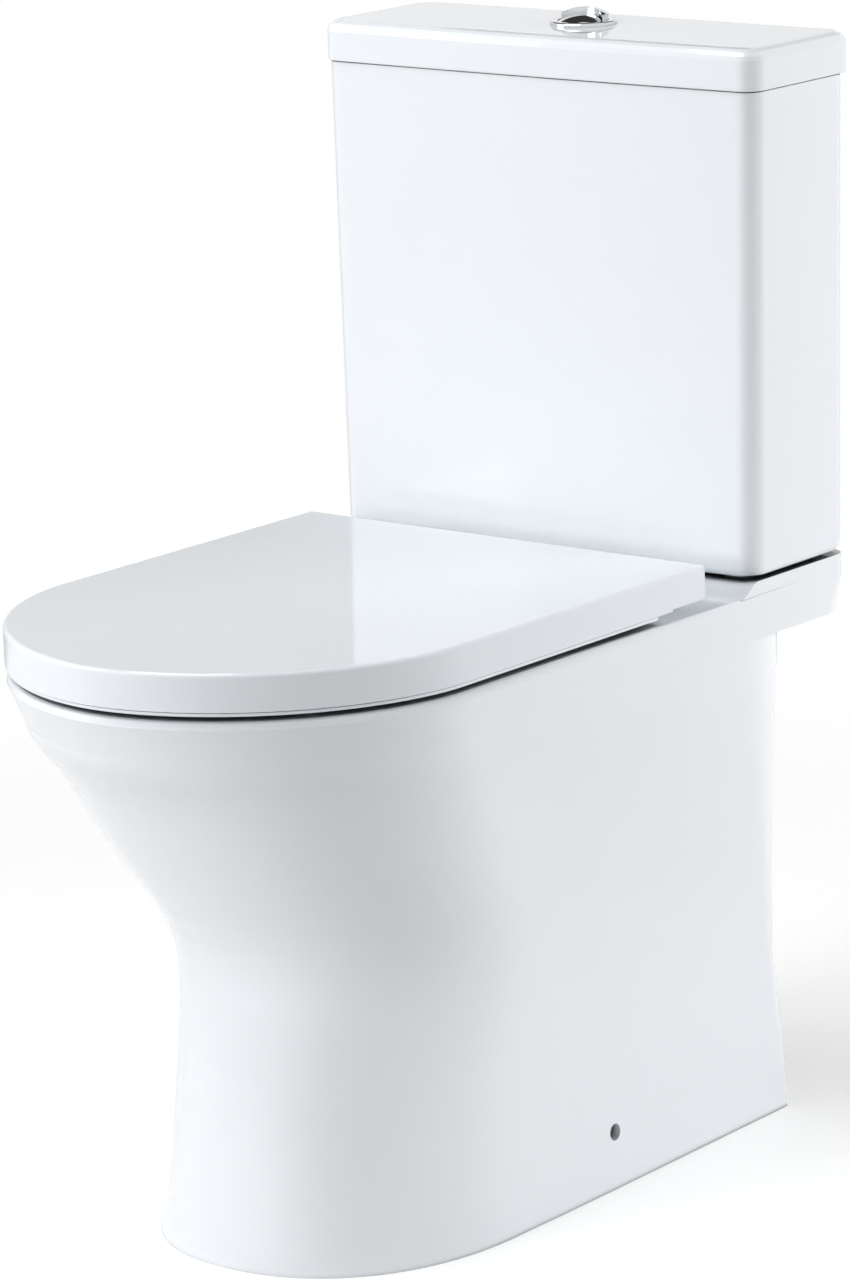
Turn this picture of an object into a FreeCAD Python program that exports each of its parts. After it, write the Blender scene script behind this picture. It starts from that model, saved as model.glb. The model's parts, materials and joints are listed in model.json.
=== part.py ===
"""Floor-standing toilet: pan, cistern with its lid, seat, flushing and filling gear, and fixings.

Lengths are millimetres. X runs to the right of someone who faces the toilet, Y towards the wall and Z up.
The origin is on the floor under the middle of the whole. Places along Y are given as a reach: the distance
from the wall.
"""
import FreeCAD, Part
import math
import os

from FreeCAD import Vector

# Whole
SEAT_REACH = 614.0
WALL_Y = SEAT_REACH / 2
OVERRUN = 3.0
SEAT_GAP = 0.3
RUNNING_GAP = 0.05
CURVE_POINTS = 21
EDGE_TOLERANCE = 0.05

# Pan, outside
RIM_HEIGHT = 410.0
RIM_HALF_WIDTH = 172.5
RIM_SETBACK = 2.0
RIM_NOSE = 174.0
DECK_THICKNESS = 31.0
SHELF_HALF_WIDTH = 177.5
SHELF_RISE = 9.6
SHELF_SETBACK = 9.4
RISER_RUN = 20.0
RISER_HOLLOW_SHARE = 0.15
SHELF_CORNER = 14.0
SHELF_LOW_CORNER = 27.0
BACK_HALF_WIDTH = 110.0
FLANK_TURN = 38.0
FLANK_ROUNDING_SHARE = 0.35
CIRCLE_POWER = 2
RIM_ROUNDING = 6.0
# Each row is one height of the body, from the floor up. Its shares are of the deck's underside for the
# height, of the rim's sizes for the reach, the nose's length and the half width where the nose starts, of the
# shelf for the half width where the flank ends, of the back for the half width at the wall, and of a circle's
# power for the nose's curve.
PAN_SHARES = (
    (0.000, 0.812, 0.890, 0.733, 0.677, 1.082, 1.108),
    (0.066, 0.801, 0.876, 0.716, 0.674, 1.066, 1.104),
    (0.158, 0.793, 0.865, 0.704, 0.671, 1.030, 1.100),
    (0.290, 0.782, 0.862, 0.703, 0.676, 0.985, 1.092),
    (0.422, 0.771, 0.872, 0.722, 0.709, 0.975, 1.075),
    (0.501, 0.769, 0.883, 0.745, 0.744, 0.973, 1.062),
    (0.580, 0.785, 0.899, 0.774, 0.788, 0.977, 1.045),
    (0.686, 0.834, 0.924, 0.821, 0.850, 0.984, 1.020),
    (0.818, 0.896, 0.953, 0.882, 0.923, 0.994, 0.988),
    (0.924, 0.946, 0.976, 0.934, 0.973, 1.001, 0.962),
    (1.000, 0.981, 0.991, 0.969, 1.000, 1.007, 0.945),
)
RIM_POWER_SHARE = 0.935

# Pan, inside
PAN_WALL = 13.0
BOWL_WALL = 12.0
RIM_FRONT_WIDTH = 46.0
RIM_SIDE_WIDTH = 51.5
BOWL_BACK_REACH = 262.0
BOWL_DEPTH = 205.0
SUMP_SETOFF = 121.4
SUMP_HALF_LENGTH = 40.0
SUMP_HALF_WIDTH = 36.0
SUMP_HEIGHT = 57.0
# Each row is one height of the bowl, from its foot up. Its shares are of the depth for the height, and of
# the way from the sump's size and place to the mouth's for the middle's reach, the half length and the half
# width.
BOWL_SHARES = (
    (0.000, 0.000, 0.000, 0.000),
    (0.133, 0.026, 0.179, 0.141),
    (0.281, 0.108, 0.457, 0.430),
    (0.468, 0.324, 0.674, 0.701),
    (0.665, 0.621, 0.840, 0.872),
    (0.840, 0.892, 0.948, 0.957),
    (1.000, 1.000, 1.000, 1.000),
)
TRAP_RADIUS = 33.0
TRAP_WALL = 10.0
TRAP_BEND = 46.0
THROAT_SETOFF = 16.6
THROAT_RISE = 35.0
THROAT_LENGTH = 76.0
TRAP_DIP_SETBACK = 75.0
TRAP_DIP_HEIGHT = 91.0
TRAP_WEIR_SETBACK = 46.0
TRAP_WEIR_DROP = 110.0
TRAP_TURN_SETOFF = 28.0
OUTLET_DROP = 115.0
OUTLET_REACH = 60.0
OUTLET_RADIUS = 51.0
OUTLET_LENGTH = 60.0
OUTLET_NECK = 6.0
BACK_OPENING_HALF_WIDTH = 80.0
BACK_OPENING_DROP = 100.0
FLUSH_RADIUS = 24.0
FLUSH_WALL = 10.0
CHANNEL_GAP = 0.3
FLUSH_DROP = 58.0
FLUSH_BEND = 36.0

# Cistern
CISTERN_RISE = 338.4
CISTERN_TOP_HALF_WIDTH = 185.0
CISTERN_FOOT_HALF_WIDTH = 180.2
CISTERN_REACH = 121.4
CISTERN_BACK = 5.0
CISTERN_BOW = 2.6
CISTERN_CORNER = 14.0
CISTERN_WALL = 9.0
CISTERN_FLOOR = 12.0
FLOOR_HOLE_GAP = 0.4
CISTERN_FOOT_ROUNDING = 8.0
SEAM_ROUNDING = 1.2
ROUNDING_STEPS = 4
PAD_THICKNESS = 2.0
PAD_RADIUS = 10.0
PAD_X = 150.0
PAD_REACHES = (28.0, 96.0)

# Cistern lid
LID_THICKNESS = 29.0
LID_OVERHANG = 1.5
LID_ROUNDING = 8.0
LID_PLATE = 12.0
LID_LIP_GAP = 2.0
LID_LIP_WALL = 6.0
LID_LIP_DEPTH = 8.0

# Flush gear
VALVE_REACH = 60.0
SHANK_RADIUS = 30.5
SHANK_WALL = 5.0
SHANK_DEPTH = 24.0
FLANGE_RADIUS = 40.0
FLANGE_THICKNESS = 4.4
WASHER_THICKNESS = 2.0
VALVE_SEAT_HEIGHT = 4.0
VALVE_SEAT_WALL = 3.5
BACKNUT_RADIUS = 42.0
BACKNUT_THICKNESS = 12.0
DOUGHNUT_RADIUS = 52.0
DOUGHNUT_WALL = 8.0
DOUGHNUT_POCKET_GAP = 2.0
DOUGHNUT_POCKET_DEPTH = 23.6
TOWER_RADIUS = 37.0
TOWER_WALL = 3.0
TOWER_LENGTH = 200.0
TOWER_WINDOW_WIDTH = 34.0
TOWER_WINDOW_HEIGHT = 80.0
TOWER_WINDOW_SILL = 6.0
TOWER_CAP = 6.0
LIFT_RADIUS = 13.5
LIFT_WALL = 2.5
LIFT_LENGTH = 236.0
LIFT_GAP = 0.5
SEAL_RADIUS = 28.0
SEAL_THICKNESS = 4.0
SEAL_CLAMP = 4.0
CUP_RADIUS = 24.0
CUP_WALL = 2.0
CUP_HEIGHT = 44.0
CUP_LIFT = 105.0
ACTUATOR_RADIUS = 26.0
ACTUATOR_WALL = 2.0
ACTUATOR_HEIGHT = 88.0
ACTUATOR_LID = 3.0
ACTUATOR_WINDOW_WIDTH = 20.0
ACTUATOR_WINDOW_HEIGHT = 26.0
ACTUATOR_WINDOW_SILL = 44.0

# Flush button
LID_HOLE_RADIUS = 20.5
HOUSING_RADIUS = 20.0
HOUSING_WALL = 1.8
HOUSING_LENGTH = 38.0
GUIDE_THICKNESS = 4.0
BEZEL_RADIUS = 23.4
BEZEL_HEIGHT = 3.0
LOCK_NUT_RADIUS = 27.0
LOCK_NUT_THICKNESS = 8.0
BUTTON_GAP = 0.4
BUTTON_DEPTH = 6.0
FULL_CROWN = 4.0
HALF_CROWN = 9.0
CROWN_RADIUS = 36.0
SPLIT_RADIUS = 26.0
SPLIT_OFFSET = 21.0
SPLIT_GAP = 0.5
ROD_RADIUS = 3.0
ROD_SPREAD = 9.5
ROD_LENGTH = 66.0
ROD_GAP = 0.4
ROD_SOCKET = 4.0

# Filling gear
FILL_INSET = 69.0
INLET_RADIUS = 10.3
INLET_BORE = 5.0
INLET_DEPTH = 16.0
INLET_TAIL_RADIUS = 9.8
INLET_TAIL_LENGTH = 20.0
INLET_HOLE_RADIUS = 19.0
INLET_FLANGE_RADIUS = 17.0
INLET_NUT_RADIUS = 16.5
INLET_NUT_THICKNESS = 10.0
FILL_TOWER_RADIUS = 11.0
FILL_TOWER_LENGTH = 200.0
FILL_HEAD_RADIUS = 17.0
FILL_HEAD_HEIGHT = 36.0
FLOAT_RADIUS = 27.0
FLOAT_GAP = 1.5
FLOAT_HEIGHT = 58.0
FLOAT_DROP = 52.0
LINK_RADIUS = 1.6
LEVER_LENGTH = 38.0
LEVER_THICKNESS = 4.0
LEVER_WIDTH = 8.0
LEVER_RISE = 20.0
LEVER_PIN_OFFSET = 4.0
LEVER_PIN_RADIUS = 1.5
LEVER_PIN_GRIP = 4.0
LEVER_SLOT_GAP = 0.3
LEVER_SLOT_DEPTH = 16.0

# Close coupling
COUPLING_X = 85.0
COUPLING_BOLT_RADIUS = 4.0
COUPLING_HOLE_RADIUS = 6.0
COUPLING_HEAD_RADIUS = 8.0
COUPLING_HEAD_HEIGHT = 5.0
COUPLING_BOLT_TAIL = 12.0
CONE_WASHER_RADIUS = 12.0
CONE_WASHER_HEIGHT = 4.0
PLATE_WASHER_RADIUS = 13.0
PLATE_WASHER_THICKNESS = 2.0
WING_NUT_RADIUS = 7.5
WING_NUT_HEIGHT = 9.0
WING_LENGTH = 9.0
WING_THICKNESS = 2.5

# Seat
SEAT_RISE = 32.0
SEAT_HALF_WIDTH = 172.0
SEAT_NOSE = 174.4
SEAT_POWER = 1.87
SEAT_BACK_SETBACK = 15.7
SEAT_LID_WALL = 3.5
SEAT_LID_PLATE = 4.6
SEAT_LID_SKIRT_GAP = 6.4
SEAT_LID_ROUNDING = 3.0
SEAT_LID_REAR_GAP = 13.0
SEAT_LID_HEEL_GAP = 8.0
SEAT_LID_HEEL_LENGTH = 22.0
SEAT_LID_SWING_GAP = 0.4
RING_TOP_RISE = 21.0
RING_FLANGE_GAP = 3.6
RING_FLANGE_THICKNESS = 2.0
RING_INSET = 2.5
RING_FLANGE_INSET = 1.3
RING_FLANGE_SETOFF = 38.0
RING_ARM_SETOFF = 13.0
RING_HOLE_END_OVERLAP = 12.0
RING_HOLE_SIDE_OVERLAP = 13.0
BUFFER_RADIUS = 7.0
RING_BUFFER_SIDE_INSET = 30.0
RING_BUFFER_SETOFF = 116.0
RING_BUFFER_NOSE_SIDE_INSET = 62.0
RING_BUFFER_NOSE_INSET = 86.0
LID_BUFFER_SIDE_INSET = 32.0
LID_BUFFER_SETOFF = 101.0
LID_BUFFER_NOSE_SIDE_INSET = 68.0
LID_BUFFER_NOSE_INSET = 78.0

# Hinges
HINGE_REACH = 184.0
HINGE_RISE = 18.0
HINGE_X = 77.5
POST_HALF_WIDTH = 10.0
POST_HALF_DEPTH = 6.5
POST_BARREL_RADIUS = 8.5
POST_FOOT_RADIUS = 13.5
POST_FOOT_THICKNESS = 1.0
BARREL_RADIUS = 9.2
BARREL_LENGTH = 32.0
BARREL_GAP = 0.8
BARREL_WEB = 10.0
BARREL_WEB_DROP = 7.0
HINGE_PIN_RADIUS = 4.0
HINGE_PIN_GRIP = 8.0
DAMPER_RADIUS = 6.5
DAMPER_END_GAP = 0.3
REAR_NOTCH_GAP = 1.5
STUD_RADIUS = 4.0
STUD_RISE = 6.0
STUD_TAIL = 24.0
SEAT_HOLE_RADIUS = 7.5
SLEEVE_RADIUS = 7.2
SLEEVE_LENGTH = 24.0
STUD_NUT_RADIUS = 12.0
STUD_NUT_THICKNESS = 8.0

# Floor fixings
FIXING_REACH = 216.6
FIXING_HEIGHT = 40.0
FIXING_HOLE_RADIUS = 6.0
FIXING_SEAT_X = 111.5
FIXING_HEAD_RADIUS = 5.5
FIXING_HEAD_HEIGHT = 3.5
FIXING_SHANK_RADIUS = 3.0
FIXING_SHANK_HOLE = 3.5
FIXING_LENGTH = 26.0
BRACKET_FACE_X = 105.8
BRACKET_PLATE = 6.0
BRACKET_HALF_LENGTH = 20.0
BRACKET_HEIGHT = 58.0
BRACKET_FOOT = 44.0
BRACKET_HOLE_RADIUS = 4.0
BRACKET_HOLE_OFFSET = 20.0

# Worked out from the sizes above
ARC_MIDDLE_SHARE = 1 - 1 / math.sqrt(2)
RIM_REACH = SEAT_REACH - RIM_SETBACK
SHELF_UNDERSIDE = RIM_HEIGHT - DECK_THICKNESS
SHELF_HEIGHT = RIM_HEIGHT + SHELF_RISE
SHELF_REACH = CISTERN_REACH - SHELF_SETBACK
CISTERN_FOOT = SHELF_HEIGHT + PAD_THICKNESS
CISTERN_HEIGHT = CISTERN_FOOT + CISTERN_RISE
FILL_X = FILL_INSET - CISTERN_TOP_HALF_WIDTH
CISTERN_FLOOR_TOP = CISTERN_FOOT + CISTERN_FLOOR
BOWL_FRONT_REACH = RIM_REACH - RIM_FRONT_WIDTH
BOWL_MIDDLE_REACH = (BOWL_FRONT_REACH + BOWL_BACK_REACH) / 2
BOWL_HALF_LENGTH = (BOWL_FRONT_REACH - BOWL_BACK_REACH) / 2
BOWL_HALF_WIDTH = RIM_HALF_WIDTH - RIM_SIDE_WIDTH
BOWL_FOOT = RIM_HEIGHT - BOWL_DEPTH
SUMP_REACH = BOWL_BACK_REACH + SUMP_SETOFF
SUMP_TOP = BOWL_FOOT + SUMP_HEIGHT
TRAP_INLET_REACH = SUMP_REACH + THROAT_SETOFF
TRAP_INLET_HEIGHT = BOWL_FOOT + THROAT_RISE
TRAP_DIP_REACH = TRAP_INLET_REACH - TRAP_DIP_SETBACK
TRAP_WEIR_REACH = BOWL_BACK_REACH - TRAP_WEIR_SETBACK
TRAP_WEIR_HEIGHT = RIM_HEIGHT - TRAP_WEIR_DROP
OUTLET_HEIGHT = TRAP_WEIR_HEIGHT - OUTLET_DROP
SPIGOT_INNER_REACH = OUTLET_REACH + OUTLET_LENGTH + OUTLET_NECK
TRAP_TURN_REACH = SPIGOT_INNER_REACH + TRAP_TURN_SETOFF
BACK_OPENING_HEIGHT = RIM_HEIGHT - BACK_OPENING_DROP
POCKET_FLOOR = SHELF_HEIGHT - DOUGHNUT_POCKET_DEPTH
FLUSH_HEIGHT = RIM_HEIGHT - FLUSH_DROP
FLANGE_FOOT = CISTERN_FLOOR_TOP + WASHER_THICKNESS
FLANGE_TOP = FLANGE_FOOT + FLANGE_THICKNESS
VALVE_SEAT_TOP = FLANGE_TOP + VALVE_SEAT_HEIGHT
SEAL_TOP = VALVE_SEAT_TOP + SEAL_THICKNESS
LID_TOP = CISTERN_HEIGHT + LID_THICKNESS
LID_CEILING = LID_TOP - LID_PLATE
HOUSING_BORE = HOUSING_RADIUS - HOUSING_WALL
BUTTON_RADIUS = HOUSING_BORE - BUTTON_GAP
BUTTON_FOOT = LID_TOP - BUTTON_DEPTH
FILL_TOP = FLANGE_TOP + FILL_TOWER_LENGTH
LEVER_HEIGHT = FILL_TOP + LEVER_RISE
POST_INNER_X = HINGE_X - POST_HALF_WIDTH
POST_OUTER_X = HINGE_X + POST_HALF_WIDTH
LID_BARREL_X = POST_INNER_X - BARREL_GAP
RING_BARREL_X = POST_OUTER_X + BARREL_GAP
HINGE_HEIGHT = RIM_HEIGHT + HINGE_RISE
STUD_TOP = RIM_HEIGHT + STUD_RISE
SEAT_TOP = RIM_HEIGHT + SEAT_RISE
SEAT_CEILING = SEAT_TOP - SEAT_LID_PLATE
SEAT_BACK = HINGE_REACH - SEAT_BACK_SETBACK
SEAT_LID_SKIRT = RIM_HEIGHT + SEAT_LID_SKIRT_GAP
SEAT_LID_REAR_SKIRT = RIM_HEIGHT + SEAT_LID_REAR_GAP
SEAT_LID_HEEL = RIM_HEIGHT + SEAT_LID_HEEL_GAP
SEAT_LID_HEEL_REACH = HINGE_REACH + SEAT_LID_HEEL_LENGTH
RING_TOP = RIM_HEIGHT + RING_TOP_RISE
RING_FOOT = RIM_HEIGHT + RING_FLANGE_GAP
RING_STEP = RING_FOOT + RING_FLANGE_THICKNESS
RING_FLANGE_BACK = HINGE_REACH + RING_FLANGE_SETOFF
RING_ARM_BACK = HINGE_REACH + RING_ARM_SETOFF
RING_HOLE_HALF_LENGTH = BOWL_HALF_LENGTH - RING_HOLE_END_OVERLAP
RING_HOLE_HALF_WIDTH = BOWL_HALF_WIDTH - RING_HOLE_SIDE_OVERLAP
# Each place is a distance to the middle plane and a reach, first behind and then at the nose.
RING_BUFFER_PLACES = (
    (SEAT_HALF_WIDTH - RING_BUFFER_SIDE_INSET, HINGE_REACH + RING_BUFFER_SETOFF),
    (SEAT_HALF_WIDTH - RING_BUFFER_NOSE_SIDE_INSET, SEAT_REACH - RING_BUFFER_NOSE_INSET),
)
LID_BUFFER_PLACES = (
    (SEAT_HALF_WIDTH - LID_BUFFER_SIDE_INSET, HINGE_REACH + LID_BUFFER_SETOFF),
    (SEAT_HALF_WIDTH - LID_BUFFER_NOSE_SIDE_INSET, SEAT_REACH - LID_BUFFER_NOSE_INSET),
)


def point(x, reach, z):
    """A point from its distances to the middle plane, the wall and the floor."""
    return Vector(x, WALL_Y - reach, z)


def save(name, shape):
    """Writes one sub-part and says how large it is."""
    solid_count = len(shape.Solids)
    state = "valid" if shape.isValid() else "NOT VALID"
    print(name, solid_count, "solids", round(shape.Volume), "mm3", state)
    shape.exportStep("parts/" + name + ".step")


def rod(radius, low, high, x, reach):
    """An upright round bar."""
    return Part.makeCylinder(radius, high - low, point(x, reach, low), Vector(0, 0, 1))


def tube(outer, inner, low, high, x, reach):
    """An upright pipe."""
    return rod(outer, low, high, x, reach).cut(rod(inner, low - OVERRUN, high + OVERRUN, x, reach))


def axle(radius, left, right, reach, z):
    """A round bar along X."""
    return Part.makeCylinder(radius, right - left, point(left, reach, z), Vector(1, 0, 0))


def block(left, right, near, far, low, high):
    """A box between two distances along each axis; near and far are reaches."""
    return Part.makeBox(right - left, far - near, high - low, point(left, far, low))


def mirrored(shape):
    """The same shape on the other side of the middle plane."""
    return shape.mirror(Vector(0, 0, 0), Vector(1, 0, 0))


def pair(shape):
    """A shape and its mirror image, as separate solids."""
    return Part.makeCompound([shape, mirrored(shape)])


def fused(first, *others):
    """One solid made of several that touch or overlap."""
    return first.fuse(list(others)).removeSplitter()


def closed_wire(edges):
    """A wire of edges that follow each other."""
    return Part.Wire(edges)


def lofted(wires, ruled=False):
    """A solid through closed outlines."""
    return Part.makeLoft(wires, True, ruled)


def bezier_edge(poles):
    """A smooth curve that starts and ends along the first and last legs of its poles."""
    curve = Part.BezierCurve()
    curve.setPoles(poles)
    return curve.toShape()


def nose_edge(half_width, reach, nose, power, z):
    """The round front of a D outline, from its left shoulder to its right one."""
    shoulder = reach - nose
    shares = [step / (CURVE_POINTS - 1) for step in range(CURVE_POINTS)]
    points = []
    for share in shares:
        angle = math.pi * share
        across = math.copysign(abs(math.cos(angle)) ** (2 / power), -math.cos(angle))
        along = math.sin(angle) ** (2 / power)
        points.append(point(half_width * across, shoulder + nose * along, z))
    curve = Part.BSplineCurve()
    curve.interpolate(Points=points, Parameters=shares)
    return curve.toShape()


def flank_edge(shoulder, end, way):
    """A flank that starts straight back from the nose and ends along a given way."""
    leg = (end - shoulder).Length / 3
    return bezier_edge([shoulder, shoulder + Vector(0, leg, 0), end - way * leg, end])


def side_edges(shoulder, knee, wall_end):
    """A flank that starts straight back and turns in to the wall with a soft knee."""
    chord = (knee - shoulder).normalize()
    inward = (wall_end - knee).normalize()
    setback = (wall_end - knee).Length * FLANK_ROUNDING_SHARE
    knee_start = knee - chord * setback
    knee_end = knee + inward * setback
    return [
        flank_edge(shoulder, knee_start, chord),
        bezier_edge([knee_start, knee, knee_end]),
        Part.makeLine(knee_end, wall_end),
    ]


def reversed_edges(edges):
    """The mirror image of a run of edges, in the order and direction that closes an outline."""
    return [mirrored(edge) for edge in reversed(edges)]


def d_wire(half_width, reach, nose, power, back, z):
    """A D outline with a straight back."""
    shoulder = reach - nose
    corners = [
        point(half_width, shoulder, z),
        point(half_width, back, z),
        point(-half_width, back, z),
        point(-half_width, shoulder, z),
    ]
    sides = [Part.makeLine(corners[i], corners[i + 1]) for i in range(len(corners) - 1)]
    return closed_wire([nose_edge(half_width, reach, nose, power, z)] + sides)


def d_slab(half_width, reach, nose, back, low, high):
    """A flat D-shaped piece with the seat's curve."""
    face = Part.Face(d_wire(half_width, reach, nose, SEAT_POWER, back, low))
    return face.extrude(Vector(0, 0, high - low))


def ellipse_wire(middle_reach, half_length, half_width, z):
    """An upright bowl's outline at one height, longer along Y."""
    curve = Part.Ellipse(point(0, middle_reach - half_length, z), point(half_width, middle_reach, z),
                         point(0, middle_reach, z))
    return closed_wire([curve.toShape()])


def bent_path(points, radius):
    """Straight runs in the middle plane joined by arcs that touch them."""
    edges = []
    start = points[0]
    for before, corner, after in zip(points, points[1:], points[2:]):
        back = (before - corner).normalize()
        ahead = (after - corner).normalize()
        half_turn = (math.pi - back.getAngle(ahead)) / 2
        setback = radius * math.tan(half_turn)
        first = corner + back * setback
        last = corner + ahead * setback
        inward = (back + ahead).normalize()
        middle = corner + inward * (radius / math.cos(half_turn) - radius)
        edges.append(Part.makeLine(start, first))
        edges.append(Part.Arc(first, middle, last).toShape())
        start = last
    edges.append(Part.makeLine(start, points[-1]))
    return closed_wire(edges)


def pipe(points, bend, radius):
    """A solid round bar along a bent path."""
    path = bent_path(points, bend)
    profile = closed_wire([Part.makeCircle(radius, points[0], points[1] - points[0])])
    return path.makePipeShell([profile], True, False)


def pan_level(shares, inset, end, z):
    """The pan's outline at one height of its body, all walls moved in by inset, drawn to the reach at end."""
    _, reach_share, nose_share, front_share, flank_share, back_share, power_share = shares
    reach = RIM_REACH * reach_share - inset
    nose = RIM_NOSE * nose_share - inset
    front = RIM_HALF_WIDTH * front_share - inset
    flank = SHELF_HALF_WIDTH * flank_share - inset
    back = BACK_HALF_WIDTH * back_share - inset
    slope = math.tan(math.radians(FLANK_TURN))
    turn = inset + (flank - back) / slope
    end_x = flank - (turn - end) * slope
    side = side_edges(point(front, reach - nose, z), point(flank, turn, z), point(end_x, end, z))
    wall_edge = Part.makeLine(point(end_x, end, z), point(-end_x, end, z))
    front_edge = nose_edge(front, reach, nose, CIRCLE_POWER * power_share, z)
    return closed_wire([front_edge] + side + [wall_edge] + reversed_edges(side))


def pan_body(inset, end):
    """The pan's body from the floor to the deck's underside, all walls moved in by inset."""
    wires = []
    for shares in PAN_SHARES:
        wires.append(pan_level(shares, inset, end, SHELF_UNDERSIDE * shares[0]))
    return lofted(wires)


def deck_level(reach, nose, front, flank, corner, power, z):
    """The outline of the rim and the shelf at one height."""
    shoulder = point(front, reach - nose, z)
    turn_start = point(flank, 2 * corner, z)
    arc_start = point(flank, corner, z)
    arc_end = point(flank - corner, 0, z)
    diagonal = corner * ARC_MIDDLE_SHARE
    side = [
        flank_edge(shoulder, turn_start, Vector(0, 1, 0)),
        Part.makeLine(turn_start, arc_start),
        Part.Arc(arc_start, point(flank - diagonal, diagonal, z), arc_end).toShape(),
    ]
    wall_edge = Part.makeLine(arc_end, point(corner - flank, 0, z))
    front_edge = nose_edge(front, reach, nose, power, z)
    return closed_wire([front_edge] + side + [wall_edge] + reversed_edges(side))


def pan_deck():
    """The rim and the shelf, from the shelf's underside to the rim's top, with a rounded rim."""
    shares = PAN_SHARES[-1]
    edge_height = RIM_HEIGHT - RIM_ROUNDING
    power = CIRCLE_POWER * RIM_POWER_SHARE
    low = deck_level(RIM_REACH * shares[1], RIM_NOSE * shares[2], RIM_HALF_WIDTH * shares[3],
                     SHELF_HALF_WIDTH, SHELF_LOW_CORNER, CIRCLE_POWER * shares[6], SHELF_UNDERSIDE)
    edge = deck_level(RIM_REACH, RIM_NOSE, RIM_HALF_WIDTH,
                      SHELF_HALF_WIDTH, SHELF_CORNER, power, edge_height)
    solid = lofted([low, edge], ruled=True)
    for step in range(ROUNDING_STEPS):
        levels = []
        for angle in (step, step + 1):
            turn = math.pi / 2 * angle / ROUNDING_STEPS
            inset = RIM_ROUNDING * (1 - math.cos(turn))
            z = edge_height + RIM_ROUNDING * math.sin(turn)
            levels.append(deck_level(RIM_REACH - inset, RIM_NOSE - inset, RIM_HALF_WIDTH - inset,
                                     SHELF_HALF_WIDTH, SHELF_CORNER, power, z))
        solid = solid.fuse(lofted(levels, ruled=True))
    return solid.removeSplitter()


def raised_shelf():
    """The raised part that carries the cistern, with a curved riser in front."""
    low = RIM_HEIGHT
    high = SHELF_HEIGHT
    middle = (low + high) / 2
    foot = SHELF_REACH + RISER_RUN
    half_run = RISER_RUN / 2
    rise = high - low
    hollow = rise * RISER_HOLLOW_SHARE
    edges = [
        Part.makeLine(point(0, 0, low), point(0, foot, low)),
        Part.Arc(point(0, foot, low), point(0, foot - half_run / 2, low + hollow),
                 point(0, SHELF_REACH + half_run, middle)).toShape(),
        Part.Arc(point(0, SHELF_REACH + half_run, middle),
                 point(0, SHELF_REACH + half_run / 2, high - hollow),
                 point(0, SHELF_REACH, high)).toShape(),
        Part.makeLine(point(0, SHELF_REACH, high), point(0, 0, high)),
        Part.makeLine(point(0, 0, high), point(0, 0, low)),
    ]
    face = Part.Face(closed_wire(edges))
    face.translate(Vector(-SHELF_HALF_WIDTH, 0, 0))
    solid = face.extrude(Vector(2 * SHELF_HALF_WIDTH, 0, 0))
    back_edges = []
    for edge in solid.Edges:
        box = edge.BoundBox
        upright = box.ZLength > rise / 2 and max(box.XLength, box.YLength) < EDGE_TOLERANCE
        if upright and box.YMin > WALL_Y - EDGE_TOLERANCE:
            back_edges.append(edge)
    return solid.makeFillet(SHELF_CORNER, back_edges)


def bowl_room(wall):
    """The bowl's space up past the rim, or with a wall its outer shape."""
    wires = []
    for height_share, middle_share, length_share, width_share in BOWL_SHARES:
        middle = SUMP_REACH + (BOWL_MIDDLE_REACH - SUMP_REACH) * middle_share
        half_length = SUMP_HALF_LENGTH + (BOWL_HALF_LENGTH - SUMP_HALF_LENGTH) * length_share
        half_width = SUMP_HALF_WIDTH + (BOWL_HALF_WIDTH - SUMP_HALF_WIDTH) * width_share
        z = BOWL_FOOT + BOWL_DEPTH * height_share
        wires.append(ellipse_wire(middle, half_length + wall, half_width + wall, z))
    top = ellipse_wire(BOWL_MIDDLE_REACH, BOWL_HALF_LENGTH + wall, BOWL_HALF_WIDTH + wall, RIM_HEIGHT)
    mouth = Part.Face(top).extrude(Vector(0, 0, OVERRUN))
    return lofted(wires).fuse(mouth)


def throat_way():
    """Where the throat starts, which way it falls and where it ends."""
    start = point(0, TRAP_INLET_REACH, TRAP_INLET_HEIGHT)
    way = (point(0, TRAP_DIP_REACH, TRAP_DIP_HEIGHT) - start).normalize()
    return start, way, start + way * THROAT_LENGTH


def throat(radius, overrun):
    """The straight round throat from the bowl down to the trapway."""
    start, way, _ = throat_way()
    return Part.makeCylinder(radius, THROAT_LENGTH + overrun, start, way)


def trap_points(overrun):
    """The corners of the trapway from the throat over the weir to the outlet spigot."""
    _, way, end = throat_way()
    return [
        end - way * overrun,
        point(0, TRAP_DIP_REACH, TRAP_DIP_HEIGHT),
        point(0, TRAP_WEIR_REACH, TRAP_WEIR_HEIGHT),
        point(0, TRAP_TURN_REACH, OUTLET_HEIGHT),
        point(0, SPIGOT_INNER_REACH - overrun, OUTLET_HEIGHT),
    ]


def flush_points(overrun):
    """The corners of the water way, from the back of the bowl to the deck under the cistern."""
    return [
        point(0, BOWL_BACK_REACH + BOWL_WALL + overrun, FLUSH_HEIGHT),
        point(0, VALVE_REACH, FLUSH_HEIGHT),
        point(0, VALVE_REACH, POCKET_FLOOR + overrun),
    ]


def above(z):
    """Everything of the pan above a height."""
    return block(-SHELF_HALF_WIDTH, SHELF_HALF_WIDTH, -OVERRUN, SEAT_REACH, z, SEAT_TOP)


def behind(reach):
    """Everything of the pan between the wall and a reach."""
    return block(-SHELF_HALF_WIDTH, SHELF_HALF_WIDTH, -2 * OVERRUN, reach, -OVERRUN, SEAT_TOP)


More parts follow.
